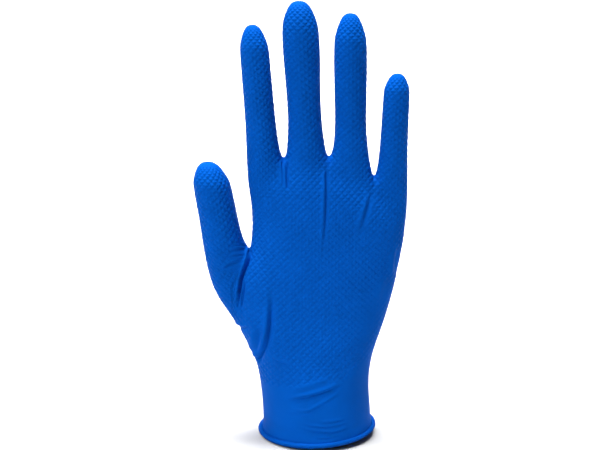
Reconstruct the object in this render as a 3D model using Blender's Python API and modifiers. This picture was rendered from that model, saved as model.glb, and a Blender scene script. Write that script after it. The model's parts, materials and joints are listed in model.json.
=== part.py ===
"""Thin nitrile work glove with a diamond-textured hand and a smooth beaded cuff, filled out as if worn.

The glove stands on its cuff: +Z runs from the cuff opening to the fingertips, the palm faces -Y and the
thumb points to -X.  The origin is the centre of the cuff opening, level with the underside of the bead.

The real glove is one dipped film.  It bends at the wrist and at the knuckles, so the film is modelled as
stiffer zones (cuff, palm, finger stalls) with a short bending band of film between each two of them.
"""

import math

import bmesh
import bpy
from mathutils import Matrix, Vector

COLLECTION = "nitrile_glove"
MM = 0.001

# Film
FILM = 0.25  # mm, wall thickness of the dipped film
GAP = 0.3  # mm, clearance between two neighbouring zones
SUBDIVISION = 1

# Rolled bead round the cuff opening, mm
BEAD_RADIUS = 30.5  # centre of the roll
BEAD_HALF_WIDTH = 1.55
BEAD_HEIGHT = 2.4
BEAD_SIDES = 8
BEAD_STEPS = 48

# Hand sections from the cuff to the knuckles, mm: height, thumb-side edge, little-finger-side edge,
# half depth, squareness of the outline (2 is an ellipse), and how far the section follows the web line
SECTIONS = (
    (2.7, -29.7, 29.7, 29.7, 2.0, 0.0),
    (14.0, -29.9, 29.3, 28.7, 2.0, 0.0),
    (26.0, -31.0, 28.2, 27.0, 2.0, 0.0),
    (40.0, -33.0, 29.2, 25.0, 2.1, 0.0),
    (52.0, -39.0, 32.8, 22.5, 2.3, 0.0),
    (64.0, -45.5, 37.2, 20.5, 2.5, 0.0),
    (84.0, -46.0, 42.4, 18.5, 2.6, 0.0),
    (101.0, -36.5, 45.4, 17.0, 2.6, 0.0),
    (115.0, -35.0, 46.6, 16.0, 2.5, 0.45),
    (130.0, -35.6, 47.4, 14.5, 2.5, 0.8),
)
COLUMNS = 10  # faces across the palm; the back has as many
WRIST_SECTIONS = (2, 3)  # the sections where the wrist band starts and ends
THUMB_SECTIONS = (5, 6, 7)  # the sections below, across and above the root of the thumb

# Line of the webs between the fingers, thumb side to little-finger side, mm
WEB_X = (-37.4, -17.7, 5.9, 29.2, 48.0)
WEB_Z = (140.0, 152.0, 153.0, 141.0, 128.0)
WEB_DROP = 5.0  # the palm and back edges of a web lie this much lower than its middle
WEB_HALF_DEPTH = 7.5

# A ring of eight cage points shrinks by this factor when it is subdivided
RING_SHRINK = (2.0 + math.cos(math.radians(45.0))) / 3.0
BEND_SLACK = 1.12  # a bending band is this much longer than the bend needs

# Each stall, mm: centre line as (height, x), half width as (height, radius), the joint heights with their
# largest bend in degrees, top of the tip, length of the rounded tip, and depth of the centre line
STALLS = {
    "index": {
        "line": ((155.0, -28.7), (223.0, -34.0)),
        "girth": ((155.0, 8.7), (170.0, 7.9), (190.0, 7.7), (208.0, 7.6)),
        "bends": (("root", 162.0, 70.0), ("middle", 187.0, 80.0), ("tip", 205.5, 50.0)),
        "top": 223.0,
        "nose": 16.0,
        "y": 0.0,
    },
    "middle": {
        "line": ((156.0, -6.0), (235.4, -9.9)),
        "girth": ((156.0, 10.0), (170.0, 8.7), (185.0, 8.7), (206.0, 9.6)),
        "bends": (("root", 163.0, 70.0), ("middle", 191.0, 80.0), ("tip", 213.0, 50.0)),
        "top": 235.4,
        "nose": 18.0,
        "y": 0.0,
    },
    "ring": {
        "line": ((156.0, 17.3), (229.2, 16.6)),
        "girth": ((156.0, 9.0), (170.0, 8.0), (185.0, 8.4), (204.0, 8.6)),
        "bends": (("root", 163.0, 70.0), ("middle", 189.0, 80.0), ("tip", 209.0, 50.0)),
        "top": 229.2,
        "nose": 20.0,
        "y": 0.0,
    },
    "little": {
        "line": ((145.0, 39.4), (197.4, 41.4)),
        "girth": ((145.0, 8.0), (157.0, 7.3), (172.0, 7.0), (185.0, 6.9)),
        "bends": (("root", 151.0, 70.0), ("middle", 169.5, 80.0), ("tip", 184.0, 50.0)),
        "top": 197.4,
        "nose": 12.0,
        "y": 0.0,
    },
    "thumb": {
        "line": ((105.0, -50.2), (150.3, -58.2)),
        "girth": ((105.0, 11.0), (112.0, 10.3), (124.0, 10.2), (138.0, 10.2)),
        "bends": (("root", 111.5, 50.0), ("tip", 130.0, 60.0)),
        "top": 150.3,
        "nose": 16.5,
        "y": 1.5,
    },
}
FINGERS = ("index", "middle", "ring", "little")

# The thumb's root leans out of the palm: middle of the leaning ring, its radius, and its fall to the outside
THUMB_ROOT_X = -47.0
THUMB_ROOT_Z = 91.0
THUMB_ROOT_RADIUS = 10.2
THUMB_ROOT_FALL = 1.15

FILM_COLOUR = (0.004, 0.085, 0.43, 1.0)
BEAD_COLOUR = (0.003, 0.06, 0.35, 1.0)


def clear_scene():
    """Remove the objects that a new file starts with."""
    for obj in list(bpy.data.objects):
        bpy.data.objects.remove(obj, do_unlink=True)


def make_material(name, colour, roughness):
    """A plain Principled material."""
    material = bpy.data.materials.new(name)
    material.use_nodes = True
    shader = material.node_tree.nodes["Principled BSDF"]
    shader.inputs["Base Color"].default_value = colour
    shader.inputs["Roughness"].default_value = roughness
    shader.inputs["Metallic"].default_value = 0.0
    material.diffuse_color = colour
    return material


def lookup(stations, height):
    """Straight-line reading of a list of (height, value) stations, held level past its ends."""
    if height <= stations[0][0]:
        return stations[0][1]
    for (z0, v0), (z1, v1) in zip(stations, stations[1:]):
        if height <= z1:
            return v0 + (v1 - v0) * (height - z0) / (z1 - z0)
    return stations[-1][1]


def column_fraction(column):
    """Sideways place of a column, from 0 at the thumb side to 1 at the little-finger side."""
    step = column if column <= COLUMNS else 2 * COLUMNS - column
    return (1.0 - math.cos(math.pi * step / COLUMNS)) / 2.0


def web_height(fraction):
    """Height of the web line at a sideways place, measured from its mean."""
    places = [(x - WEB_X[0]) / (WEB_X[-1] - WEB_X[0]) for x in WEB_X]
    return lookup(tuple(zip(places, WEB_Z)), fraction) - sum(WEB_Z) / len(WEB_Z)


def section_points(section):
    """The closed loop of cage points of one hand section, counter-clockwise seen from the fingertips."""
    height, left, right, half_depth, power, follow = section
    points = []
    for column in range(2 * COLUMNS):
        fraction = column_fraction(column)
        x = left + fraction * (right - left)
        side = -1.0 if column < COLUMNS else 1.0
        y = side * half_depth * (1.0 - abs(2.0 * fraction - 1.0) ** power) ** (1.0 / power)
        points.append(Vector((x, y, height + follow * web_height(fraction))))
    return points


def ring_points(centre_x, centre_y, height, radius, fall=0.0):
    """Eight cage points round a stall; fall tilts the ring down towards the thumb side."""
    points = []
    for step in range(8):
        angle = math.pi + step * math.pi / 4.0
        offset = radius / RING_SHRINK * math.cos(angle)
        y = centre_y + radius / RING_SHRINK * math.sin(angle)
        points.append(Vector((centre_x + offset, y, height + fall * offset)))
    return points


def bend_half_length(stall, bend):
    """Half the length of film that a bend needs, so that the stalls on its two sides stay apart."""
    _, height, limit = bend
    return BEND_SLACK * lookup(stall["girth"], height) * math.tan(math.radians(limit / 2.0))


def stall_rings(name):
    """Heights of a stall's rings, each with the zone that lies below it."""
    stall = STALLS[name]
    rings = []
    lower_zone = "palm_shell"
    for bend in stall["bends"]:
        half = bend_half_length(stall, bend)
        rings.append((bend[1] - half, lower_zone))
        rings.append((bend[1] + half, f"{name}_{bend[0]}_bend"))
        lower_zone = zone_above(name, bend[0])
    for part in (0.62, 0.22, 0.04):
        rings.append((stall["top"] - part * stall["nose"], lower_zone))
    return rings


def zone_above(name, bend):
    """Name of the stall zone on the fingertip side of a bend."""
    if bend == "tip":
        return f"{name}_fingertip" if name in FINGERS else "thumb_end"
    return f"{name}_lower_stall" if bend == "root" else f"{name}_upper_stall"


def stall_radius(stall, height):
    """Radius of a stall at a height, with the tip rounded to an ellipse."""
    start = stall["top"] - stall["nose"]
    radius = lookup(stall["girth"], height)
    if height <= start:
        return radius
    return radius * math.sqrt(max(0.0, 1.0 - ((height - start) / stall["nose"]) ** 2))


class Cage:
    """The coarse cage of the glove, with a zone name for each face."""

    def __init__(self):
        self.mesh = bmesh.new()
        self.zones = []

    def points(self, places):
        return [self.mesh.verts.new(place * MM) for place in places]

    def face(self, corners, zone):
        if zone not in self.zones:
            self.zones.append(zone)
        self.mesh.faces.new(corners).material_index = self.zones.index(zone)

    def band(self, lower, upper, zone, skip=()):
        count = len(lower)
        for n in range(count):
            if n not in skip:
                m = (n + 1) % count
                self.face((lower[n], lower[m], upper[m], upper[n]), zone)

    def stall(self, name, root):
        """Grow one stall from the ring of points at its root."""
        stall = STALLS[name]
        lower = root
        for height, zone in stall_rings(name):
            centre = lookup(stall["line"], height)
            radius = stall_radius(stall, height)
            upper = self.points(ring_points(centre, stall["y"], height, radius))
            self.band(lower, upper, zone)
            lower = upper
        self.face(lower, zone)


def web_loop():
    """Cage points of the top of the palm, in the order of a section, and the middles of the webs."""
    loop = [None] * (2 * COLUMNS)
    loop[0] = Vector((WEB_X[0], 0.0, WEB_Z[0]))
    loop[COLUMNS] = Vector((WEB_X[-1], 0.0, WEB_Z[-1]))
    for j, (x, z) in enumerate(zip(WEB_X, WEB_Z)):
        inset = 1.5 * ((j == 0) - (j == len(WEB_X) - 1))
        loop[2 * j + 1] = Vector((x + inset, -WEB_HALF_DEPTH, z - WEB_DROP))
        loop[2 * COLUMNS - 1 - 2 * j] = Vector((x + inset, WEB_HALF_DEPTH, z - WEB_DROP))
    for i, name in enumerate(FINGERS):
        stall = STALLS[name]
        x = lookup(stall["line"], 0.0)
        z = (WEB_Z[i] + WEB_Z[i + 1]) / 2.0 - WEB_DROP
        half_depth = stall["girth"][0][1] / RING_SHRINK
        loop[2 * i + 2] = Vector((x, -half_depth, z))
        loop[2 * COLUMNS - 2 - 2 * i] = Vector((x, half_depth, z))
    middles = [Vector((x, 0.0, z)) for x, z in zip(WEB_X[1:-1], WEB_Z[1:-1])]
    return loop, middles


def build_cage():
    """The whole glove as one open cage."""
    cage = Cage()
    rows = [cage.points(section_points(section)) for section in SECTIONS]
    top_places, middle_places = web_loop()
    top = cage.points(top_places)
    middles = cage.points(middle_places)
    below, across, above = THUMB_SECTIONS
    thumb_columns = (0, 2 * COLUMNS - 1)
    for n, (lower, upper) in enumerate(zip(rows, rows[1:] + [top])):
        zone = "cuff_sleeve" if n < WRIST_SECTIONS[0] else "palm_shell"
        if n == WRIST_SECTIONS[0]:
            zone = "wrist_bend"
        cage.band(lower, upper, zone, skip=thumb_columns if n in (below, across) else ())
    webs = [top[0]] + middles + [top[COLUMNS]]
    for i, name in enumerate(FINGERS):
        front = top[2 * i + 1: 2 * i + 4]
        back = top[2 * COLUMNS - 3 - 2 * i: 2 * COLUMNS - 2 * i]
        cage.stall(name, [webs[i]] + front + [webs[i + 1]] + back)
    last = 2 * COLUMNS - 1
    root = [rows[below][0], rows[below][1], rows[across][1], rows[above][1],
            rows[above][0], rows[above][last], rows[across][last], rows[below][last]]
    lean = cage.points(ring_points(THUMB_ROOT_X, STALLS["thumb"]["y"], THUMB_ROOT_Z,
                                   THUMB_ROOT_RADIUS, THUMB_ROOT_FALL))
    cage.band(root, lean, "palm_shell")
    cage.stall("thumb", lean)
    cage.mesh.verts.remove(rows[across][0])
    return cage


def smooth_skin(cage):
    """Subdivide the cage and return the smooth open skin as a mesh."""
    mesh = bpy.data.meshes.new("glove_cage")
    cage.mesh.to_mesh(mesh)
    cage.mesh.free()
    obj = bpy.data.objects.new("glove_cage", mesh)
    bpy.context.scene.collection.objects.link(obj)
    subdivision = obj.modifiers.new("smooth", "SUBSURF")
    subdivision.levels = SUBDIVISION
    subdivision.render_levels = SUBDIVISION
    skin = bpy.data.meshes.new_from_object(obj.evaluated_get(bpy.context.evaluated_depsgraph_get()))
    bpy.data.objects.remove(obj, do_unlink=True)
    return skin


def add_object(name, mesh, pivot, material, collection):
    """Link a mesh, given in world coordinates, as an object whose origin is the pivot."""
    mesh.transform(Matrix.Translation(-pivot))
    obj = bpy.data.objects.new(name, mesh)
    obj.location = pivot
    mesh.materials.clear()
    mesh.materials.append(material)
    mesh.shade_smooth()
    collection.objects.link(obj)
    return obj


def film_zone(skin, index, name, pivot, material, collection):
    """One zone of the film: its part of the skin, drawn back from its neighbours and given thickness."""
    patch = bmesh.new()
    patch.from_mesh(skin)
    others = [face for face in patch.faces if face.material_index != index]
    bmesh.ops.delete(patch, geom=others, context="FACES")
    moves = {}
    for vertex in patch.verts:
        if vertex.is_boundary:
            inner = [edge.other_vert(vertex).co for edge in vertex.link_edges if not edge.is_boundary]
            moves[vertex] = (inner[0] - vertex.co).normalized() * (GAP / 2.0 * MM)
    for vertex, move in moves.items():
        vertex.co += move
    for face in patch.faces:
        face.material_index = 0
    mesh = bpy.data.meshes.new(name)
    patch.to_mesh(mesh)
    patch.free()
    obj = add_object(name, mesh, pivot, material, collection)
    wall = obj.modifiers.new("film", "SOLIDIFY")
    wall.thickness = FILM * MM
    wall.offset = -1.0
    wall.use_even_offset = True
    wall.use_rim = True
    return obj


def rolled_bead(material, collection):
    """The rolled edge of the film: a round ring that stands on a narrow flat."""
    half_height = BEAD_HEIGHT / 2.0
    profile = []
    for step in range(BEAD_SIDES):
        angle = math.pi / 2.0 - (step + 0.5) * 2.0 * math.pi / BEAD_SIDES
        x = BEAD_RADIUS + BEAD_HALF_WIDTH * math.cos(angle) / math.cos(math.pi / BEAD_SIDES)
        z = half_height + half_height * math.sin(angle) / math.cos(math.pi / BEAD_SIDES)
        profile.append((x * MM, 0.0, max(0.0, z) * MM))
    mesh = bpy.data.meshes.new("rolled_bead")
    edges = [(n, (n + 1) % BEAD_SIDES) for n in range(BEAD_SIDES)]
    mesh.from_pydata(profile, edges, [])
    obj = add_object("rolled_bead", mesh, Vector((0.0, 0.0, 0.0)), material, collection)
    turn = obj.modifiers.new("turn", "SCREW")
    turn.angle = 2.0 * math.pi
    turn.steps = BEAD_STEPS
    turn.render_steps = BEAD_STEPS
    turn.use_merge_vertices = True
    turn.merge_threshold = 0.00001
    return obj


def zone_pivot(zone):
    """The point on the joint axis that a zone turns about; the cuff stays at the origin."""
    if zone == "cuff_sleeve":
        return Vector((0.0, 0.0, 0.0))
    if zone in ("wrist_bend", "palm_shell"):
        low, high = (SECTIONS[n][0] for n in WRIST_SECTIONS)
        return Vector((0.0, 0.0, (low + high) / 2.0)) * MM
    name = zone.split("_")[0]
    stall = STALLS[name]
    for bend in stall["bends"]:
        if zone in (f"{name}_{bend[0]}_bend", zone_above(name, bend[0])):
            return Vector((lookup(stall["line"], bend[1]), stall["y"], bend[1])) * MM
    return Vector((0.0, 0.0, 0.0))


def build():
    """Make every named piece of the glove."""
    clear_scene()
    collection = bpy.data.collections.new(COLLECTION)
    bpy.context.scene.collection.children.link(collection)
    film = make_material("nitrile_film", FILM_COLOUR, 0.55)
    bead = make_material("nitrile_bead", BEAD_COLOUR, 0.45)
    cage = build_cage()
    zones = list(cage.zones)
    skin = smooth_skin(cage)
    for index, zone in enumerate(zones):
        film_zone(skin, index, zone, zone_pivot(zone), film, collection)
    bpy.data.meshes.remove(skin)
    rolled_bead(bead, collection)


build()
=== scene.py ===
"""Looks of the textured nitrile glove: one smooth film surface with its diamond relief, folds and wrinkles,
cut where the CAD bodies part, so that each piece rides a body or lies across one joint."""

import json
import math

import bmesh
import bpy
import numpy as np
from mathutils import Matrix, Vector
from mathutils.bvhtree import BVHTree


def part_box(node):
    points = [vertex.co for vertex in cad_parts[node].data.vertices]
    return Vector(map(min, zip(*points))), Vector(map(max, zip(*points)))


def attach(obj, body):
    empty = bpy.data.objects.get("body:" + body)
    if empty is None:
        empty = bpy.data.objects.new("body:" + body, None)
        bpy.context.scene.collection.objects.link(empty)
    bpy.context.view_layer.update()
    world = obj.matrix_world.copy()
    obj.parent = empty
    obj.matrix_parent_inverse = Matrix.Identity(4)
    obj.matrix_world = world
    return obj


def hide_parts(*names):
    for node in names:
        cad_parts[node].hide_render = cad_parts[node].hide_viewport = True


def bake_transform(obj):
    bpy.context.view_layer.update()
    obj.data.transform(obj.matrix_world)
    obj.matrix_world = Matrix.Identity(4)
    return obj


MM = 0.001
FINGERS = ("index", "middle", "ring", "little")
STALL_NAMES = FINGERS + ("thumb",)

# ---------------------------------------------------------------- hand shape, in mm, as in the CAD model

# height, thumb-side edge, little-finger-side edge, half depth, squareness, how far it follows the web line
SECTIONS = (
    (2.7, -29.7, 29.7, 29.7, 2.0, 0.0),
    (14.0, -29.9, 29.3, 28.7, 2.0, 0.0),
    (26.0, -31.0, 28.2, 27.0, 2.0, 0.0),
    (40.0, -33.0, 29.2, 25.0, 2.1, 0.0),
    (52.0, -39.0, 32.8, 22.5, 2.3, 0.0),
    (64.0, -45.5, 37.2, 20.5, 2.5, 0.0),
    (84.0, -46.0, 42.4, 18.5, 2.6, 0.0),
    (101.0, -36.5, 45.4, 17.0, 2.6, 0.0),
    (115.0, -35.0, 46.6, 16.0, 2.5, 0.45),
    (130.0, -35.6, 47.4, 14.5, 2.5, 0.8),
)
COLUMNS = 10
THUMB_SECTIONS = (5, 6, 7)
WEB_X = (-37.4, -17.7, 5.9, 29.2, 48.0)
WEB_Z = (140.0, 152.0, 153.0, 141.0, 128.0)
WEB_DROP = 5.0
WEB_HALF_DEPTH = 7.5
RING_SHRINK = (2.0 + math.cos(math.radians(45.0))) / 3.0
BEND_SLACK = 1.12

# centre line as (height, x), half width as (height, radius), bends as (height, largest angle)
STALLS = {
    "index": {
        "line": ((155.0, -28.7), (223.0, -34.0)),
        "girth": ((155.0, 8.7), (170.0, 7.9), (190.0, 7.7), (208.0, 7.6)),
        "bends": ((162.0, 70.0), (187.0, 80.0), (205.5, 50.0)),
        "top": 223.0,
        "nose": 16.0,
        "y": 0.0,
    },
    "middle": {
        "line": ((156.0, -6.0), (235.4, -9.9)),
        "girth": ((156.0, 10.0), (170.0, 8.7), (185.0, 8.7), (206.0, 9.6)),
        "bends": ((163.0, 70.0), (191.0, 80.0), (213.0, 50.0)),
        "top": 235.4,
        "nose": 18.0,
        "y": 0.0,
    },
    "ring": {
        "line": ((156.0, 17.3), (229.2, 16.6)),
        "girth": ((156.0, 9.0), (170.0, 8.0), (185.0, 8.4), (204.0, 8.6)),
        "bends": ((163.0, 70.0), (189.0, 80.0), (209.0, 50.0)),
        "top": 229.2,
        "nose": 20.0,
        "y": 0.0,
    },
    "little": {
        "line": ((145.0, 39.4), (197.4, 41.4)),
        "girth": ((145.0, 8.0), (157.0, 7.3), (172.0, 7.0), (185.0, 6.9)),
        "bends": ((151.0, 70.0), (169.5, 80.0), (184.0, 50.0)),
        "top": 197.4,
        "nose": 12.0,
        "y": 0.0,
    },
    "thumb": {
        "line": ((105.0, -50.2), (150.3, -58.2)),
        "girth": ((105.0, 11.0), (112.0, 10.3), (124.0, 10.2), (138.0, 10.2)),
        "bends": ((111.5, 50.0), (130.0, 60.0)),
        "top": 150.3,
        "nose": 16.5,
        "y": 1.5,
    },
}
THUMB_EDGE = -37.6  # the thumb lies beyond this
THUMB_ROOT = {"x": -47.0, "z": 91.0, "radius": 10.2, "fall": 1.15}

# ---------------------------------------------------------------- surface detail, in mm

SMOOTH_LEVELS = 5
VOXEL = 0.48
FILM = 0.25
SKIRT = 5.0  # the smooth surface goes on this far below the cuff, before it is cut at the hem
HEM_HEIGHT = 1.3  # the film ends inside the bead

# Cuts and bends of the film
WRIST_MARGIN = 2.5  # the wrist piece reaches this far past the CAD bend on both sides
WRIST_REACH = 9.0  # and the reach listed for its bend on both sides of the hinge
PALM_SPLIT = 98.0  # the palm's film is two pieces that meet here, because its mesh is large
BEND_SHARE = 0.8  # the reach listed for a finger's bend is this share of its radius times the joint's largest angle
BEYOND = 1000.0  # past every end of the glove

DIAMOND_WIDTH = 3.53  # diagonals of one raised diamond
DIAMOND_HEIGHT = 3.43
STALL_STRETCH = 1.09  # the film is drawn wider on the fingers
RELIEF = 0.18
PALM_RELIEF = 0.85  # the film is stretched flatter over the palm
TIP_RELIEF = 0.45  # and over the finger tips
# Painted shade in the grooves: down in them the film's colour goes this far towards the dark groove colour
PAINTED_GROOVE_SHADE = 0.05
GROOVE_BUMP = 0.45
TEXTURE_EDGE = 33.0  # the texture ends about this far above the cuff opening
TEXTURE_RISE = 9.0  # and this much higher on the little finger's side
SIDE_FLATTENING = 0.7  # where the wrist's little-finger side draws it flat
FOLD_FLATTENING = 0.85  # and beside the folds

BEAD_RADIUS = 30.5
BEAD_HALF_WIDTH = 1.6
BEAD_HEIGHT = 2.6
BEAD_FLARE = 0.7
HEM_LEAN = 0.045
HEM_LIFT = 0.7

# ---------------------------------------------------------------- colours, light and camera

FILM_COLOUR = (0.001, 0.08, 0.43)
FILM_ROUGHNESS = 0.6
BEAD_COLOUR = (0.001, 0.07, 0.39)
BEAD_ROUGHNESS = 0.5
# Painted shade: the dark colour laid into the grooves of the diamonds
PAINTED_GROOVE_SHADE_COLOUR = (0.0, 0.012, 0.11, 1.0)
GLOSS_TINT = (0.15, 0.45, 1.0, 1.0)
GLOSS = 0.015
CLOUD_SCALE = 55.0
GRAIN_SCALE = 3500.0
GRAIN_HEIGHT = 0.00003

FLOOR_RADIUS = 4.0
FLOOR_SHADE = 0.55
FLOOR_HEIGHT = -0.001
SKY_STRENGTH = 0.1
# place and aim in metres, size of a side, watts, and spread in degrees
KEY_LIGHT = ((-0.67, -0.77, 1.16), (0.0, 0.0, 0.12), 0.5, 17.0, 180.0)
BACKDROP_LIGHT = ((0.0, 0.97, 2.2), (0.0, 0.97, 0.0), 2.0, 70.0, 60.0)

VIEW_DISTANCE = 0.9
VIEW_ELEVATION = 15.0
FOCAL_PIXELS = 1694.0
FRAME_WIDTH_PIXELS = 600.0
SENSOR = 36.0
AIM = (-0.0093, 0.0, 0.1154)


# ---------------------------------------------------------------- numeric helpers


def smoothstep(low, high, value):
    t = np.clip((value - low) / (high - low), 0.0, 1.0)
    return t * t * (3.0 - 2.0 * t)


def lookup(stations, height):
    """Straight-line reading of (height, value) stations; works on numbers and arrays."""
    return np.interp(height, [s[0] for s in stations], [s[1] for s in stations])


def section_value(item, height):
    """One measure of the hand sections at a height."""
    return np.interp(height, [s[0] for s in SECTIONS], [s[item] for s in SECTIONS])


# ---------------------------------------------------------------- cage of the hand


def column_fraction(column):
    """How far across the hand a column of the cage stands; they are closer together at both edges."""
    step = column if column <= COLUMNS else 2 * COLUMNS - column
    return (1.0 - math.cos(math.pi * step / COLUMNS)) / 2.0


def web_height(fraction):
    """How far the line of the finger webs lies above or below its mean."""
    places = [(x - WEB_X[0]) / (WEB_X[-1] - WEB_X[0]) for x in WEB_X]
    return float(np.interp(fraction, places, WEB_Z)) - sum(WEB_Z) / len(WEB_Z)


def section_points(section):
    """One loop of the palm's cage: its front from left to right, then its back."""
    height, left, right, half_depth, power, follow = section
    points = []
    for column in range(2 * COLUMNS):
        fraction = column_fraction(column)
        side = -1.0 if column < COLUMNS else 1.0
        y = side * half_depth * (1.0 - abs(2.0 * fraction - 1.0) ** power) ** (1.0 / power)
        x = left + fraction * (right - left)
        points.append(Vector((x, y, height + follow * web_height(fraction))))
    return points


def ring_points(centre_x, centre_y, height, radius, fall=0.0):
    """Eight cage points, wide enough to come out at the radius when smoothed; fall tilts the ring."""
    points = []
    for step in range(8):
        angle = math.pi + step * math.pi / 4.0
        offset = radius / RING_SHRINK * math.cos(angle)
        y = centre_y + radius / RING_SHRINK * math.sin(angle)
        points.append(Vector((centre_x + offset, y, height + fall * offset)))
    return points


def stall_heights(stall):
    """Heights of a stall's rings: both ends of each bend, then three round the tip."""
    heights = []
    for height, limit in stall["bends"]:
        half = BEND_SLACK * float(lookup(stall["girth"], height)) * math.tan(math.radians(limit / 2.0))
        heights += [height - half, height + half]
    return heights + [stall["top"] - part * stall["nose"] for part in (0.62, 0.22, 0.04)]


def stall_radius(stall, height):
    """A stall's radius, which closes like an ellipse over its nose."""
    start = stall["top"] - stall["nose"]
    radius = lookup(stall["girth"], height)
    past = np.clip((height - start) / stall["nose"], 0.0, 1.0)
    return radius * np.sqrt(1.0 - past * past)


def band(mesh, lower, upper, skip=()):
    """Quads between two loops of the same length."""
    count = len(lower)
    for n in range(count):
        if n not in skip:
            m = (n + 1) % count
            mesh.faces.new((lower[n], lower[m], upper[m], upper[n]))


def grow_stall(mesh, name, root):
    """A closed stall on an eight-point loop of the hand."""
    stall = STALLS[name]
    lower = root
    for height in stall_heights(stall):
        centre = float(lookup(stall["line"], height))
        radius = float(stall_radius(stall, height))
        upper = [mesh.verts.new(p) for p in ring_points(centre, stall["y"], height, radius)]
        band(mesh, lower, upper)
        lower = upper
    mesh.faces.new(lower)


def web_loop():
    """The palm's top loop, which runs along the finger roots, front and back."""
    loop = [None] * (2 * COLUMNS)
    loop[0] = Vector((WEB_X[0], 0.0, WEB_Z[0]))
    loop[COLUMNS] = Vector((WEB_X[-1], 0.0, WEB_Z[-1]))
    for j, (x, z) in enumerate(zip(WEB_X, WEB_Z)):
        inset = 1.5 * ((j == 0) - (j == len(WEB_X) - 1))
        loop[2 * j + 1] = Vector((x + inset, -WEB_HALF_DEPTH, z - WEB_DROP))
        loop[2 * COLUMNS - 1 - 2 * j] = Vector((x + inset, WEB_HALF_DEPTH, z - WEB_DROP))
    for i, name in enumerate(FINGERS):
        x = STALLS[name]["line"][0][1]
        z = (WEB_Z[i] + WEB_Z[i + 1]) / 2.0 - WEB_DROP
        half_depth = STALLS[name]["girth"][0][1] / RING_SHRINK
        loop[2 * i + 2] = Vector((x, -half_depth, z))
        loop[2 * COLUMNS - 2 - 2 * i] = Vector((x, half_depth, z))
    return loop


def build_cage():
    """The coarse cage of the whole glove, open at the cuff."""
    mesh = bmesh.new()
    rows = [[mesh.verts.new(p) for p in section_points(s)] for s in SECTIONS]
    top = [mesh.verts.new(p) for p in web_loop()]
    middles = [mesh.verts.new((x, 0.0, z)) for x, z in zip(WEB_X[1:-1], WEB_Z[1:-1])]
    below, across, above = THUMB_SECTIONS
    last = 2 * COLUMNS - 1
    for n, (lower, upper) in enumerate(zip(rows, rows[1:] + [top])):
        band(mesh, lower, upper, skip=(0, last) if n in (below, across) else ())
    webs = [top[0]] + middles + [top[COLUMNS]]
    for i, name in enumerate(FINGERS):
        front = top[2 * i + 1: 2 * i + 4]
        back = top[last - 2 - 2 * i: last + 1 - 2 * i]
        grow_stall(mesh, name, [webs[i]] + front + [webs[i + 1]] + back)
    root = [rows[below][0], rows[below][1], rows[across][1], rows[above][1],
            rows[above][0], rows[above][last], rows[across][last], rows[below][last]]
    lean = [mesh.verts.new(p) for p in ring_points(THUMB_ROOT["x"], STALLS["thumb"]["y"], THUMB_ROOT["z"],
                                                   THUMB_ROOT["radius"], THUMB_ROOT["fall"])]
    band(mesh, root, lean)
    grow_stall(mesh, "thumb", lean)
    mesh.verts.remove(rows[across][0])
    return mesh


# ---------------------------------------------------------------- smooth surface and even grid


def evaluated_mesh(bm, name, modifiers):
    """The mesh of a bmesh after some modifiers, given as (type, settings)."""
    mesh = bpy.data.meshes.new(name)
    bm.to_mesh(mesh)
    bm.free()
    obj = bpy.data.objects.new(name, mesh)
    bpy.context.scene.collection.objects.link(obj)
    for kind, settings in modifiers:
        modifier = obj.modifiers.new(kind, kind)
        for key, value in settings.items():
            setattr(modifier, key, value)
    result = bpy.data.meshes.new_from_object(obj.evaluated_get(bpy.context.evaluated_depsgraph_get()))
    bpy.data.objects.remove(obj, do_unlink=True)
    bpy.data.meshes.remove(mesh)
    return result


def coordinates(mesh):
    """A mesh's vertex places as an array."""
    flat = np.empty(len(mesh.vertices) * 3, np.float32)
    mesh.vertices.foreach_get("co", flat)
    return flat.reshape(-1, 3).astype(float)


def smooth_surface():
    """The cage subdivided, drawn out a little below the cuff and open there, as a mesh in mm."""
    mesh = evaluated_mesh(build_cage(), "smooth", [("SUBSURF", {"levels": SMOOTH_LEVELS})])
    bm = bmesh.new()
    bm.from_mesh(mesh)
    grown = bmesh.ops.extrude_edge_only(bm, edges=[e for e in bm.edges if e.is_boundary])["geom"]
    for vertex in grown:
        if isinstance(vertex, bmesh.types.BMVert):
            vertex.co.z -= SKIRT
    bm.to_mesh(mesh)
    bm.free()
    return mesh


def even_grid(smooth):
    """An even quad grid over the glove's outer surface, as vertex places and faces."""
    bm = bmesh.new()
    bm.from_mesh(smooth)
    bmesh.ops.contextual_create(bm, geom=[e for e in bm.edges if e.is_boundary])
    voxel = VOXEL
    grid = evaluated_mesh(bm, "grid", [("REMESH", {"mode": "VOXEL", "voxel_size": voxel})])
    places = coordinates(grid)
    faces = np.empty(len(grid.loops), np.int32)
    grid.loops.foreach_get("vertex_index", faces)
    faces = faces.reshape(-1, 4)
    bpy.data.meshes.remove(grid)
    return places, faces


def onto_surface(places, tree):
    """Each place moved to the nearest point of the smooth surface, with the normal there."""
    found = np.empty_like(places)
    normals = np.empty_like(places)
    for n, place in enumerate(places):
        at, normal, _, _ = tree.find_nearest(place)
        found[n] = at
        normals[n] = normal
    return found, normals


def vertex_normals(places, faces):
    """Unit normals at the vertices of a quad grid, weighed by face area."""
    a, b, c, d = (places[faces[:, k]] for k in range(4))
    face_normals = np.cross(c - a, d - b)
    normals = np.zeros_like(places)
    for k in range(4):
        for axis in range(3):
            normals[:, axis] += np.bincount(faces[:, k], face_normals[:, axis], len(places))
    return normals / np.maximum(np.linalg.norm(normals, axis=1), 1e-12)[:, None]


# ---------------------------------------------------------------- diamond texture


def edge_length(samples=400):
    """Extra length of film round the edge of a hand section, as a share of its half width."""
    place = np.sin(np.linspace(0.0, math.pi / 2.0, samples))
    depth = 0.42 * (1.0 - place ** 2.5) ** 0.4
    run = np.concatenate(([0.0], np.cumsum(np.hypot(np.diff(place), np.diff(depth)))))
    return place, run - place


EDGE_PLACE, EDGE_EXTRA = edge_length()


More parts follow.
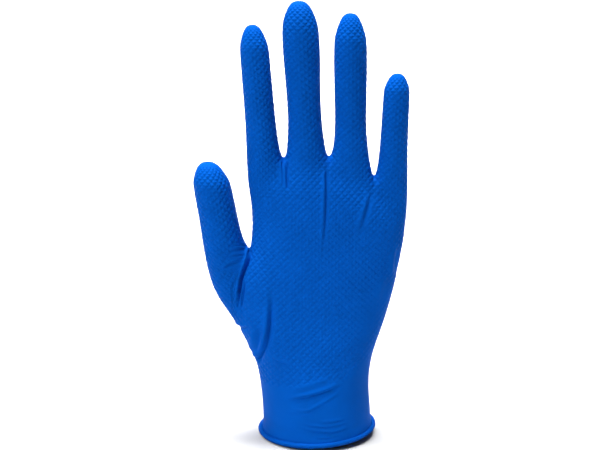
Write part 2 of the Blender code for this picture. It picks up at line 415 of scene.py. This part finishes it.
def hand_chart(p):
    """Texture coordinate across the palm, the same on the back of the hand."""
    left, right = section_value(1, p[:, 2]), section_value(2, p[:, 2])
    half = (right - left) / 2.0
    across = (p[:, 0] - (left + right) / 2.0) / half
    return p[:, 0] + half * np.sign(across) * np.interp(np.abs(across), EDGE_PLACE, EDGE_EXTRA)


def stall_chart(name, p):
    """Texture coordinates round and along one finger stall, the same on its front and back."""
    stall = STALLS[name]
    centre = lookup(stall["line"], p[:, 2])
    radius = stall["girth"][1][1]
    turn = np.arctan2(p[:, 0] - centre, np.abs(p[:, 1] - stall["y"]))
    past = np.clip((p[:, 2] - stall["top"]) / stall["nose"] + 1.0, 0.0, 1.0)
    return stall["line"][0][1] + radius * turn / STALL_STRETCH, p[:, 2] + 0.35 * stall["nose"] * past ** 4


def nearest_stall(p):
    """Which stall each place belongs to, by name; "thumb" beside and above the root of the thumb."""
    apart = [np.abs(p[:, 0] - lookup(STALLS[n]["line"], p[:, 2])) / lookup(STALLS[n]["girth"], p[:, 2])
             for n in FINGERS]
    nearest = np.array(FINGERS)[np.argmin(apart, axis=0)]
    return np.where((p[:, 0] < THUMB_EDGE) & (p[:, 2] < STALLS["thumb"]["top"] + 1.5), "thumb", nearest)


def stall_share(p):
    """How much of the texture each stall sets, as one array per stall."""
    nearest = nearest_stall(p)
    on_thumb = np.maximum(smoothstep(84.0, 104.0, p[:, 2]) * smoothstep(-37.0, -46.0, p[:, 0]),
                          smoothstep(102.0, 108.0, p[:, 2])) * (nearest == "thumb")
    shares = {"thumb": on_thumb}
    for i, name in enumerate(FINGERS):
        web = max(WEB_Z[i], WEB_Z[i + 1]) if name != "little" else WEB_Z[3]
        shares[name] = (nearest == name) * smoothstep(web - 1.0, web + 12.0, p[:, 2])
    return shares


def tip_share(p):
    """How far up its rounded finger tip each place is: 0 below the tip and 1 at its end."""
    nearest = nearest_stall(p)
    share = np.zeros(len(p))
    for name, stall in STALLS.items():
        mine = nearest == name
        share[mine] = smoothstep(stall["top"] - 1.3 * stall["nose"], stall["top"], p[mine, 2])
    return share


def texture_coordinates(p):
    """Texture coordinates in mm over the whole glove."""
    u = hand_chart(p)
    v = p[:, 2].copy()
    for name, share in stall_share(p).items():
        stall_u, stall_v = stall_chart(name, p)
        u += share * (stall_u - u)
        v += share * (stall_v - v)
    return u, v


def diamonds(u, v):
    """Height of the raised diamonds, 0 in the grooves and 1 on top."""
    height = np.ones_like(u)
    for slant in (u / DIAMOND_WIDTH + v / DIAMOND_HEIGHT, u / DIAMOND_WIDTH - v / DIAMOND_HEIGHT):
        from_groove = 1.0 - np.abs(2.0 * (slant - np.floor(slant)) - 1.0)
        height *= 1.0 - (1.0 - from_groove) ** 2.5
    return height


def texture_mask(p):
    """1 on the textured hand, 0 on the smooth cuff, with an edge that rises on the little finger's side."""
    edge = TEXTURE_EDGE + 2.0 * np.sin(p[:, 0] / 14.0 + 0.6) + TEXTURE_RISE * smoothstep(12.0, 26.0, p[:, 0])
    drawn_flat = SIDE_FLATTENING * smoothstep(15.0, 30.0, p[:, 0]) * smoothstep(95.0, 60.0, p[:, 2])
    return smoothstep(edge - 2.0, edge + 2.5, p[:, 2]) * (1.0 - drawn_flat)


# ---------------------------------------------------------------- folds and wrinkles

# Each fold: points of its line as (x, z), how far its ridge stands up, how far the film drops beside the
# ridge, its width, and the shares of its length over which it fades in and out. The drop lies to the right
# of a line that runs down, and below a line that runs to the left.
FOLDS = {
    "thumb_web": (((-35.9, 103.5), (-37.7, 97.0), (-41.1, 86.6), (-43.3, 67.5)), 0.8, 3.2, 0.8, 0.04, 0.3),
    "thumb_web_second": (((-38.8, 88.0), (-39.8, 80.0), (-41.2, 70.5)), 0.5, 1.3, 0.7, 0.2, 0.3),
    "thumb_crease": (((-39.5, 97.5), (-45.5, 96.4), (-51.5, 92.5)), 0.6, 0.8, 1.0, 0.4, 0.3),
    "thumb_side": (((-35.0, 63.5), (-41.5, 60.5), (-46.0, 58.5)), 0.5, 1.3, 1.5, 0.5, 0.1),
    "thenar": (((-25.0, 88.0), (-25.2, 72.0), (-27.2, 57.0), (-33.2, 41.5)), 1.0, 2.5, 1.5, 0.5, 0.06),
    "thenar_left": (((-31.5, 66.0), (-32.5, 56.0), (-34.0, 44.0)), 0.8, 1.6, 1.9, 0.5, 0.2),
    "wrist_left": (((-14.0, 44.0), (-20.0, 45.4), (-26.0, 47.5)), 0.4, 0.8, 0.9, 0.4, 0.3),
    "index_middle": (((-16.6, 151.5), (-16.4, 143.0), (-15.8, 136.0)), 0.6, 1.4, 0.75, 0.1, 0.4),
    "index_middle_second": (((-18.8, 151.5), (-18.4, 144.0), (-18.0, 137.0)), 0.5, 0.6, 0.75, 0.1, 0.5),
    "middle_ring": (((4.2, 149.0), (4.2, 138.0), (3.6, 122.0), (2.0, 98.0)), 0.8, 1.3, 1.0, 0.15, 0.45),
    "ring_little": (((28.4, 138.0), (25.8, 128.0), (23.2, 119.5), (21.0, 109.0)), 0.6, 1.0, 1.4, 0.3, 0.5),
    "right_palm": (((43.0, 108.0), (41.2, 98.0), (41.6, 86.0)), 0.6, 0.9, 1.6, 0.4, 0.4),
    "right_palm_second": (((38.0, 92.0), (35.0, 82.0), (33.0, 74.0)), 0.3, 0.5, 2.0, 0.4, 0.4),
    "wrist": (((14.0, 33.8), (5.0, 30.8), (-5.0, 27.9), (-18.0, 24.2)), 0.7, 1.3, 1.2, 0.3, 0.3),
    "wrist_above": (((10.0, 37.5), (-2.0, 33.6), (-14.0, 29.6)), 0.3, 0.35, 1.3, 0.4, 0.4),
    "cuff_one": (((14.0, 29.4), (4.0, 24.6), (-6.0, 19.4), (-18.0, 17.4)), 0.49, 0.39, 0.9, 0.3, 0.3),
    "cuff_two": (((10.0, 31.0), (4.0, 28.6), (0.0, 26.8)), 0.32, 0.35, 0.7, 0.4, 0.4),
    "cuff_three": (((-4.0, 20.8), (-9.0, 19.9), (-14.0, 19.8)), 0.32, 0.35, 0.7, 0.4, 0.4),
    "cuff_four": (((16.0, 13.6), (7.0, 13.2), (-1.0, 13.8)), 0.32, 0.35, 0.8, 0.3, 0.4),
    "cuff_five": (((17.0, 11.0), (8.0, 10.6), (-2.0, 11.4), (-11.0, 12.8)), 0.32, 0.35, 0.8, 0.3, 0.4),
    "cuff_six": (((18.0, 8.0), (8.0, 7.2), (-2.0, 8.8), (-13.0, 11.2)), 0.42, 0.42, 0.9, 0.3, 0.4),
    "cuff_seven": (((14.0, 5.4), (6.0, 4.7), (-4.0, 5.2)), 0.24, 0.28, 0.8, 0.4, 0.4),
}


def smooth_line(points, steps=16):
    """A dense Catmull-Rom line through some points."""
    points = np.array(points, float)
    ends = np.concatenate([[2.0 * points[0] - points[1]], points, [2.0 * points[-1] - points[-2]]])
    t = np.linspace(0.0, 1.0, steps, endpoint=False)[:, None]
    line = []
    for a, b, c, d in zip(ends, ends[1:], ends[2:], ends[3:]):
        line.append(0.5 * (2.0 * b + (c - a) * t + (2.0 * a - 5.0 * b + 4.0 * c - d) * t ** 2
                           + (3.0 * b - a - 3.0 * c + d) * t ** 3))
    return np.concatenate(line + [points[-1:]])


def fold_effect(p, fold):
    """Height that one fold adds at each place, and how far it stretches the texture flat there."""
    points, ridge, drop, width, fade_in, fade_out = fold
    line = smooth_line(points)
    low, high = line.min(axis=0) - 5.0 * width, line.max(axis=0) + 5.0 * width
    flat = p[:, [0, 2]]
    near = (p[:, 1] < 2.0) & (flat > low).all(axis=1) & (flat < high).all(axis=1)
    at = flat[near]
    gap = at[:, None, :] - line[None, :, :]
    distance = np.hypot(gap[:, :, 0], gap[:, :, 1])
    closest = distance.argmin(axis=1)
    along = np.gradient(line, axis=0)[closest]
    offset = gap[np.arange(len(at)), closest]
    side = np.sign(offset[:, 1] * along[:, 0] - offset[:, 0] * along[:, 1])
    reach = side * distance[np.arange(len(at)), closest] / width
    share = closest / (len(line) - 1.0)
    strength = smoothstep(0.0, fade_in, share) * (1.0 - smoothstep(1.0 - fade_out, 1.0, share))
    strength *= smoothstep(2.0, -2.0, p[near][:, 1])
    profile = ridge * np.exp(-((reach + 1.0) ** 2)) - drop * np.exp(-((reach - 0.3) ** 2))
    height, calm = np.zeros(len(p)), np.zeros(len(p))
    height[near] = strength * profile
    calm[near] = strength * np.exp(-((reach / 2.2) ** 4))
    return height, calm


def all_folds(p):
    """Height that all folds add at each place, and the share of the texture left there."""
    height, texture = np.zeros(len(p)), np.ones(len(p))
    for fold in FOLDS.values():
        added, calm = fold_effect(p, fold)
        height += added
        texture *= 1.0 - FOLD_FLATTENING * calm
    return height, texture


def hem_shift(p):
    """How far the cuff's lower end flares out into the bead and leans, as a shift of each place."""
    shift = np.zeros_like(p)
    flare = BEAD_FLARE * (1.0 - smoothstep(1.5, 8.0, p[:, 2]))
    radius = np.maximum(np.hypot(p[:, 0], p[:, 1]), 1.0)
    shift[:, 0] = flare * p[:, 0] / radius
    shift[:, 1] = flare * p[:, 1] / radius
    shift[:, 2] = (HEM_LEAN * p[:, 0] + HEM_LIFT) * (1.0 - smoothstep(3.0, 26.0, p[:, 2]))
    return shift


def rolled_bead():
    """The rolled bead: a slightly uneven ring, with the groove where the roll meets the cuff."""
    rounds, sides = ((480, 32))
    ring, side = np.divmod(np.arange(rounds * sides), sides)
    turn = ring * 2.0 * math.pi / rounds
    around = side * 2.0 * math.pi / sides
    wide = BEAD_HALF_WIDTH * (1.0 + 0.03 * np.sin(3.0 * turn + 1.0) + 0.015 * np.sin(11.0 * turn))
    tall = BEAD_HEIGHT / 2.0 * (1.0 + 0.06 * np.sin(2.0 * turn + 0.5) + 0.03 * np.sin(7.0 * turn + 2.0))
    groove = 1.0 - 0.16 * np.exp(-((around - math.radians(118.0)) / 0.25) ** 2)
    outward = BEAD_RADIUS + wide * groove * np.cos(around)
    height = BEAD_HEIGHT / 2.0 + tall * groove * np.sin(around)
    p = np.stack([outward * np.sin(turn), outward * np.cos(turn), height], axis=1)
    p += hem_shift(p) * [0.0, 0.0, 1.0]
    here, following = ring * sides, (ring + 1) % rounds * sides
    upward = (side + 1) % sides
    faces = np.stack([here + side, here + upward, following + upward, following + side], axis=1)
    return p, faces


# ---------------------------------------------------------------- pieces


def solid_piece(name, outer, inner, normals, faces, uv, mask, material):
    """A piece of film with real thickness from matching outer and inner places."""
    used, local = np.unique(faces, return_inverse=True)
    local = local.reshape(faces.shape)
    count = len(used)
    edges = np.concatenate([local[:, [k, (k + 1) % 4]] for k in range(4)])
    key = np.sort(edges, axis=1)
    _, first, times = np.unique(key, axis=0, return_index=True, return_counts=True)
    rim = edges[first[times == 1]]
    rim_faces = np.stack([rim[:, 1], rim[:, 0], rim[:, 0] + count, rim[:, 1] + count], axis=1)
    all_faces = np.concatenate([local, local[:, ::-1] + count, rim_faces])
    places = np.concatenate([outer[used], inner[used]]) * MM
    mesh = bpy.data.meshes.new(name)
    mesh.vertices.add(len(places))
    mesh.vertices.foreach_set("co", places.astype(np.float32).ravel())
    mesh.loops.add(all_faces.size)
    mesh.loops.foreach_set("vertex_index", all_faces.astype(np.int32).ravel())
    mesh.polygons.add(len(all_faces))
    mesh.polygons.foreach_set("loop_start", np.arange(0, all_faces.size, 4, dtype=np.int32))
    mesh.update(calc_edges=True)
    layer = mesh.uv_layers.new(name="texture")
    rim_uv = np.zeros((len(rim_faces), 4, 2))
    layer_uv = np.concatenate([uv, uv[:, ::-1], rim_uv]).reshape(-1, 2) * MM
    layer.data.foreach_set("uv", layer_uv.astype(np.float32).ravel())
    shown = mesh.attributes.new("textured", "FLOAT", "POINT")
    shown.data.foreach_set("value", np.concatenate([mask[used], np.zeros(count)]).astype(np.float32))
    mesh.polygons.foreach_set("use_smooth", np.ones(len(all_faces), bool))
    both = np.concatenate([normals[used], -normals[used]])
    mesh.normals_split_custom_set_from_vertices(both.tolist())
    mesh.materials.append(material)
    obj = bpy.data.objects.new(name, mesh)
    bpy.context.scene.collection.objects.link(obj)
    return obj


def closed_piece(name, places, faces, material):
    """A smooth closed piece from places in mm and quads."""
    mesh = bpy.data.meshes.new(name)
    mesh.from_pydata((places * MM).tolist(), [], faces.tolist())
    mesh.shade_smooth()
    mesh.materials.append(material)
    obj = bpy.data.objects.new(name, mesh)
    bpy.context.scene.collection.objects.link(obj)
    return obj


def middle_height(node):
    """Height in mm of the middle of a CAD node."""
    low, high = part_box(node)
    return (low.z + high.z) / 2.0 / MM


def bottom_height(node):
    """Height in mm of a CAD node's lower end."""
    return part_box(node)[0].z / MM


def hinge_height(joint_name):
    """Height in mm of a joint's axis."""
    return next(j["pos_m"][2] for j in frame["joints"] if j["name"] == joint_name) / MM


def plan_pieces():
    """Cuts of the film: each piece's limits, and the body it rides or the two bodies of the joint it lies
    across.
    """
    plan = []
    below_wrist = bottom_height("wrist_bend") - WRIST_MARGIN
    above_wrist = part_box("wrist_bend")[1].z / MM + WRIST_MARGIN
    plan.append({"name": "cuff_film", "where": "hand", "low": -BEYOND, "high": below_wrist,
                 "ride": "cuff", "nodes": ["cuff_sleeve"], "slot": "smooth_film"})
    plan.append({"name": "wrist_film", "where": "hand", "low": below_wrist, "high": above_wrist,
                 "blend": ("cuff", "palm"), "nodes": ["wrist_bend"], "slot": "smooth_film",
                 "bend": (middle_height("wrist_bend"), WRIST_REACH)})
    plan.append({"name": "palm_heel_film", "where": "hand", "low": above_wrist, "high": PALM_SPLIT,
                 "ride": "palm", "nodes": ["palm_shell"], "slot": "textured_film"})
    plan.append({"name": "palm_film", "where": "hand", "low": PALM_SPLIT, "high": BEYOND,
                 "ride": "palm", "nodes": ["palm_shell"], "slot": "textured_film"})
    for name in STALL_NAMES:
        bends = ("root", "tip") if name == "thumb" else ("root", "middle", "tip")
        lower_body = "palm"
        low = bottom_height(f"{name}_root_bend")
        for bend in bends:
            if bend == "root":
                body = f"{name}_lower_stall"
            elif bend == "middle":
                body = f"{name}_upper_stall"
            else:
                body = "thumb_end" if name == "thumb" else f"{name}_fingertip"
            high = middle_height(body) if bend != "tip" else BEYOND
            hinge = hinge_height(f"{name}_{bend}_flex")
            limit = STALLS[name]["bends"][bends.index(bend)][1]
            reach = BEND_SHARE * float(lookup(STALLS[name]["girth"], hinge)) * math.radians(limit)
            plan.append({"name": f"{name}_{bend}_film", "where": name, "low": low, "high": high,
                         "blend": (lower_body, body), "nodes": [f"{name}_{bend}_bend", body],
                         "slot": "textured_film", "bend": (hinge, reach)})
            low = high
            lower_body = body
    return plan


def regions(places, faces, plan):
    """The index of the piece that each face belongs to."""
    centre = places[faces].mean(axis=1)
    owner = np.full(len(faces), -1)
    region = nearest_stall(centre).astype(object)
    for name in STALL_NAMES:
        region[(region == name) & (centre[:, 2] <= bottom_height(f"{name}_root_bend"))] = "hand"
    for n, piece in enumerate(plan):
        mine = (region == piece["where"]) & (centre[:, 2] > piece["low"]) & (centre[:, 2] <= piece["high"])
        owner[mine] = n
    return owner


def straight_cuts(places, faces, owner, plan):
    """Moves the vertices on each cut to the cut's height, so that the rims are level."""
    tops = np.array([p["high"] for p in plan])
    floors = np.array([p["low"] for p in plan])
    low_owner = np.full(len(places), len(plan))
    high_owner = np.full(len(places), -1)
    for k in range(4):
        np.minimum.at(low_owner, faces[:, k], owner)
        np.maximum.at(high_owner, faces[:, k], owner)
    shared = np.nonzero((low_owner < high_owner) & (low_owner >= 0))[0]
    for v in shared:
        a, b = low_owner[v], high_owner[v]
        level = floors[b] if abs(floors[b] - places[v, 2]) < abs(tops[a] - places[v, 2]) else tops[a]
        if abs(level - places[v, 2]) < 2.0:
            places[v, 2] = level
    return shared


# ---------------------------------------------------------------- materials


class Graph:
    """Short calls for the nodes of one material."""

    def __init__(self, material):
        material.use_nodes = True
        self.nodes = material.node_tree.nodes
        self.links = material.node_tree.links
        self.shader = self.nodes["Principled BSDF"]

    def plug(self, value, socket):
        if isinstance(value, bpy.types.NodeSocket):
            self.links.new(value, socket)
        else:
            socket.default_value = value

    def maths(self, operation, first, second):
        node = self.nodes.new("ShaderNodeMath")
        node.operation = operation
        self.plug(first, node.inputs[0])
        self.plug(second, node.inputs[1])
        return node.outputs[0]

    def noise(self, scale, detail):
        place = self.nodes.new("ShaderNodeTexCoord")
        node = self.nodes.new("ShaderNodeTexNoise")
        node.inputs["Scale"].default_value = scale
        node.inputs["Detail"].default_value = detail
        self.links.new(place.outputs["Object"], node.inputs["Vector"])
        return node.outputs["Fac"]

    def ramp(self, value, stops):
        node = self.nodes.new("ShaderNodeValToRGB")
        for element, (position, colour) in zip(node.color_ramp.elements, stops):
            element.position = position
            element.color = [*colour, 1.0]
        self.links.new(value, node.inputs["Fac"])
        return node.outputs["Color"]

    def mix(self, factor, first, second):
        node = self.nodes.new("ShaderNodeMix")
        node.data_type = "RGBA"
        self.plug(factor, node.inputs["Factor"])
        self.plug(first, node.inputs[6])
        self.plug(second, node.inputs[7])
        return node.outputs[2]

    def bump(self, height, distance, strength, normal=None):
        node = self.nodes.new("ShaderNodeBump")
        node.inputs["Strength"].default_value = strength
        node.inputs["Distance"].default_value = distance
        self.links.new(height, node.inputs["Height"])
        if normal is not None:
            self.links.new(normal, node.inputs["Normal"])
        return node.outputs["Normal"]


def diamond_field(graph):
    """How far up its diamond a place is: 0 in the grooves, 1 on top and off the textured film."""
    chart = graph.nodes.new("ShaderNodeUVMap")
    chart.uv_map = "texture"
    parts = graph.nodes.new("ShaderNodeSeparateXYZ")
    graph.links.new(chart.outputs["UV"], parts.inputs["Vector"])
    across = graph.maths("DIVIDE", parts.outputs["X"], DIAMOND_WIDTH * MM)
    up = graph.maths("DIVIDE", parts.outputs["Y"], DIAMOND_HEIGHT * MM)
    fields = []
    for operation in ("ADD", "SUBTRACT"):
        apart = graph.maths("PINGPONG", graph.maths(operation, across, up), 0.5)
        fields.append(graph.maths("MULTIPLY", apart, 2.0))
    nearest = graph.maths("MINIMUM", fields[0], fields[1])
    shown = graph.nodes.new("ShaderNodeAttribute")
    shown.attribute_name = "textured"
    covered = graph.maths("MULTIPLY", graph.maths("SUBTRACT", 1.0, nearest), shown.outputs["Fac"])
    return graph.maths("SUBTRACT", 1.0, covered)


def film_material(name, colour, roughness, textured):
    """Matt nitrile film: cloudy blue, fine grain, and painted shade in the grooves where the film is
    textured.
    """
    material = bpy.data.materials.new(name)
    graph = Graph(material)
    graph.shader.inputs["Roughness"].default_value = roughness
    graph.shader.inputs["Specular IOR Level"].default_value = GLOSS
    graph.shader.inputs["Specular Tint"].default_value = GLOSS_TINT
    stops = ((0.35, [c * 0.94 for c in colour]), (0.68, [c * 1.05 for c in colour]))
    base_colour = graph.ramp(graph.noise(CLOUD_SCALE, 4.0), stops)
    normal = None
    if textured:
        field = diamond_field(graph)
        # Painted shade: down in the grooves the colour is mixed towards the dark groove colour
        groove = graph.maths("MULTIPLY", graph.maths("SUBTRACT", 1.0, field), PAINTED_GROOVE_SHADE)
        base_colour = graph.mix(groove, base_colour, PAINTED_GROOVE_SHADE_COLOUR)
        normal = graph.bump(field, GROOVE_BUMP * MM, 1.0)
    graph.links.new(base_colour, graph.shader.inputs["Base Color"])
    grained = graph.bump(graph.noise(GRAIN_SCALE, 2.0), GRAIN_HEIGHT, 0.25, normal)
    graph.links.new(grained, graph.shader.inputs["Normal"])
    return material


# ---------------------------------------------------------------- stage


def add_area(name, place, aim, size, energy, spread):
    """A square lamp that looks at a point; places in metres."""
    data = bpy.data.lights.new(name, "AREA")
    data.shape = "SQUARE"
    data.size = size
    data.energy = energy
    data.spread = math.radians(spread)
    lamp = bpy.data.objects.new(name, data)
    lamp.location = place
    lamp.rotation_euler = (Vector(aim) - Vector(place)).to_track_quat("-Z", "Y").to_euler()
    bpy.context.scene.collection.objects.link(lamp)


def add_stage():
    """A plain pale floor, a key lamp at the upper left and a panel over the floor behind."""
    bm = bmesh.new()
    bmesh.ops.create_circle(bm, cap_ends=True, segments=96, radius=FLOOR_RADIUS)
    mesh = bpy.data.meshes.new("floor")
    bm.to_mesh(mesh)
    bm.free()
    floor = bpy.data.objects.new("floor", mesh)
    floor.location = (0.0, 0.0, FLOOR_HEIGHT)
    bpy.context.scene.collection.objects.link(floor)
    pale = bpy.data.materials.new("pale_floor")
    pale.use_nodes = True
    shader = pale.node_tree.nodes["Principled BSDF"]
    shader.inputs["Base Color"].default_value = (FLOOR_SHADE, FLOOR_SHADE, FLOOR_SHADE, 1.0)
    shader.inputs["Roughness"].default_value = 0.9
    shader.inputs["Specular IOR Level"].default_value = 0.0
    mesh.materials.append(pale)
    world = bpy.data.worlds.new("studio")
    world.use_nodes = True
    background = world.node_tree.nodes["Background"]
    background.inputs["Color"].default_value = (1.0, 1.0, 1.0, 1.0)
    background.inputs["Strength"].default_value = SKY_STRENGTH
    bpy.context.scene.world = world
    add_area("key", *KEY_LIGHT)
    add_area("backdrop", *BACKDROP_LIGHT)
    bpy.context.scene.view_settings.view_transform = "Standard"


def add_camera():
    """The photograph's view: from the front and a little above."""
    elevation = math.radians(VIEW_ELEVATION)
    data = bpy.data.cameras.new("camera")
    data.sensor_width = SENSOR
    data.lens = FOCAL_PIXELS * SENSOR / FRAME_WIDTH_PIXELS
    camera = bpy.data.objects.new("camera", data)
    back = Vector((0.0, -math.cos(elevation), math.sin(elevation)))
    camera.location = Vector(AIM) + back * VIEW_DISTANCE
    camera.rotation_euler = (-back).to_track_quat("-Z", "Y").to_euler()
    bpy.context.scene.collection.objects.link(camera)
    bpy.context.scene.camera = camera


# ---------------------------------------------------------------- build

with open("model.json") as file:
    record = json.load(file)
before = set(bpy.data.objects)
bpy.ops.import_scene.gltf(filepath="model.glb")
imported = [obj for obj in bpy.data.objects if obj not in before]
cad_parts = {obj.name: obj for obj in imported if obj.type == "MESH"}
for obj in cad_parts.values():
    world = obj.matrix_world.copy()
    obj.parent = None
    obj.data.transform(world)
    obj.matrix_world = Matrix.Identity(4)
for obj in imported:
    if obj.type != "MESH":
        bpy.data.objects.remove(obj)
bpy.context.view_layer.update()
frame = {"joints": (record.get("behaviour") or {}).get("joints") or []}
add_camera()

plan = plan_pieces()
smooth = smooth_surface()
tree = BVHTree.FromPolygons(coordinates(smooth).tolist(), [tuple(p.vertices) for p in smooth.polygons])
places, faces = even_grid(smooth)
bpy.data.meshes.remove(smooth)
centre_height = places[faces][:, :, 2].mean(axis=1)
faces = faces[centre_height > HEM_HEIGHT]
owner = regions(places, faces, plan)
shared = straight_cuts(places, faces, owner, plan)
levels = places[shared, 2].copy()
places, normals = onto_surface(places, tree)
places[shared, 2] = levels

u, v = texture_coordinates(places)
fold_height, unstretched = all_folds(places)
on_stalls = sum(stall_share(places).values())
mask = texture_mask(places) * unstretched * (PALM_RELIEF + (1.0 - PALM_RELIEF) * on_stalls)
mask *= 1.0 + (TIP_RELIEF - 1.0) * tip_share(places)
folded = places + normals * fold_height[:, None] + hem_shift(places)
normals = vertex_normals(folded, faces)
outer = folded + normals * (RELIEF * (diamonds(u, v) - 0.4) * mask)[:, None]
inner = folded - normals * FILM
shading = vertex_normals(outer, faces)
uv = np.stack([u, v], axis=1)[faces]

film = film_material("nitrile_film", FILM_COLOUR, FILM_ROUGHNESS, True)
for n, piece in enumerate(plan):
    mine = owner == n
    obj = solid_piece(piece["name"], outer, inner, shading, faces[mine], uv[mine], mask, film)
    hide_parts(*piece["nodes"])
    if "ride" in piece:
        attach(obj, piece["ride"])
    else:
        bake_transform(obj)

bead_places, bead_faces = rolled_bead()
bead_film = film_material("nitrile_bead", BEAD_COLOUR, BEAD_ROUGHNESS, False)
bead = closed_piece("bead_ring", bead_places, bead_faces, bead_film)
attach(bead, "cuff")
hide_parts("rolled_bead")
add_stage()
